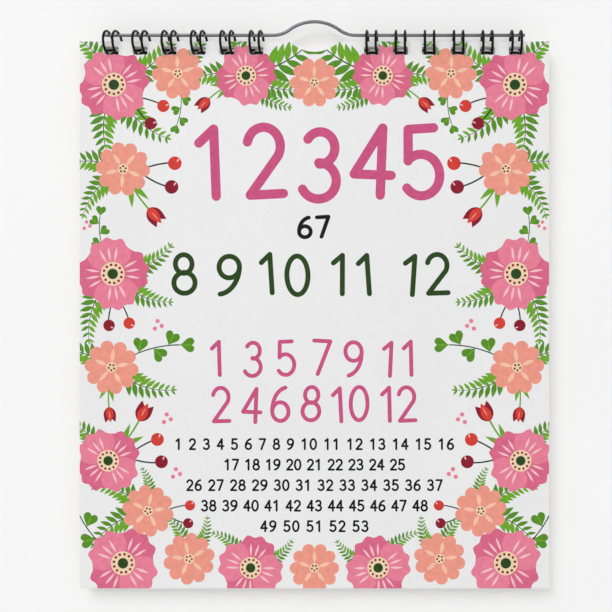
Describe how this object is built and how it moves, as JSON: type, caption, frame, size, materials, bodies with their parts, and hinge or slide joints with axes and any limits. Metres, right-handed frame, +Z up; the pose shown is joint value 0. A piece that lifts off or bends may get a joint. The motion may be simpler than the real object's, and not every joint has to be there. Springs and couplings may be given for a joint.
{
  "type": "perpetual wall calendar",
  "caption": "Wall calendar whose leaves turn up on black twin-loop wire combs along the top edge, hung by a bright steel wire with a hump for a nail.",
  "frame": {"origin": "where a nail bears under the hump of the hanger wire", "axes": "+Z up, +Y to the wall, the cover faces -Y"},
  "size_m": [0.206, 0.0111, 0.2502],
  "materials": {
    "cover_card": "matte printed card",
    "month_paper": "matte printed paper",
    "grey_board": "raw grey board",
    "black_wire": "gloss black",
    "bright_wire": "bright"
  },
  "bodies": {
    "hanger": {"hanger_wire": "bright_wire"},
    "binding": {"backing_board": "grey_board", "left_wire_comb": "black_wire", "right_wire_comb": "black_wire"},
    "month_12": {"month_sheet_12": "month_paper"},
    "month_11": {"month_sheet_11": "month_paper"},
    "month_10": {"month_sheet_10": "month_paper"},
    "month_09": {"month_sheet_09": "month_paper"},
    "month_08": {"month_sheet_08": "month_paper"},
    "month_07": {"month_sheet_07": "month_paper"},
    "month_06": {"month_sheet_06": "month_paper"},
    "month_05": {"month_sheet_05": "month_paper"},
    "month_04": {"month_sheet_04": "month_paper"},
    "month_03": {"month_sheet_03": "month_paper"},
    "month_02": {"month_sheet_02": "month_paper"},
    "month_01": {"month_sheet_01": "month_paper"},
    "cover": {"front_cover": "cover_card"}
  },
  "joints": [
    {"name": "hanger_swing", "type": "hinge", "parent": "hanger", "child": "binding", "pos_m": [0, 0, -0.0053], "axis": [1, 0, 0], "range_deg": [-90, 0]},
    {"name": "month_12_turn", "type": "hinge", "parent": "binding", "child": "month_12", "pos_m": [0, -0.00153, -0.00865], "axis": [-1, 0, 0], "range_deg": [0, 180]},
    {"name": "month_11_turn", "type": "hinge", "parent": "month_12", "child": "month_11", "pos_m": [0, -0.00153, -0.00865], "axis": [-1, 0, 0], "range_deg": [0, 180]},
    {"name": "month_10_turn", "type": "hinge", "parent": "month_11", "child": "month_10", "pos_m": [0, -0.00153, -0.00865], "axis": [-1, 0, 0], "range_deg": [0, 180]},
    {"name": "month_09_turn", "type": "hinge", "parent": "month_10", "child": "month_09", "pos_m": [0, -0.00153, -0.00865], "axis": [-1, 0, 0], "range_deg": [0, 180]},
    {"name": "month_08_turn", "type": "hinge", "parent": "month_09", "child": "month_08", "pos_m": [0, -0.00153, -0.00865], "axis": [-1, 0, 0], "range_deg": [0, 180]},
    {"name": "month_07_turn", "type": "hinge", "parent": "month_08", "child": "month_07", "pos_m": [0, -0.00153, -0.00865], "axis": [-1, 0, 0], "range_deg": [0, 180]},
    {"name": "month_06_turn", "type": "hinge", "parent": "month_07", "child": "month_06", "pos_m": [0, -0.00153, -0.00865], "axis": [-1, 0, 0], "range_deg": [0, 180]},
    {"name": "month_05_turn", "type": "hinge", "parent": "month_06", "child": "month_05", "pos_m": [0, -0.00153, -0.00865], "axis": [-1, 0, 0], "range_deg": [0, 180]},
    {"name": "month_04_turn", "type": "hinge", "parent": "month_05", "child": "month_04", "pos_m": [0, -0.00153, -0.00865], "axis": [-1, 0, 0], "range_deg": [0, 180]},
    {"name": "month_03_turn", "type": "hinge", "parent": "month_04", "child": "month_03", "pos_m": [0, -0.00153, -0.00865], "axis": [-1, 0, 0], "range_deg": [0, 180]},
    {"name": "month_02_turn", "type": "hinge", "parent": "month_03", "child": "month_02", "pos_m": [0, -0.00153, -0.00865], "axis": [-1, 0, 0], "range_deg": [0, 180]},
    {"name": "month_01_turn", "type": "hinge", "parent": "month_02", "child": "month_01", "pos_m": [0, -0.00153, -0.00865], "axis": [-1, 0, 0], "range_deg": [0, 180]},
    {"name": "cover_turn", "type": "hinge", "parent": "month_01", "child": "cover", "pos_m": [0, -0.00153, -0.00865], "axis": [-1, 0, 0], "range_deg": [0, 180]}
  ]
}
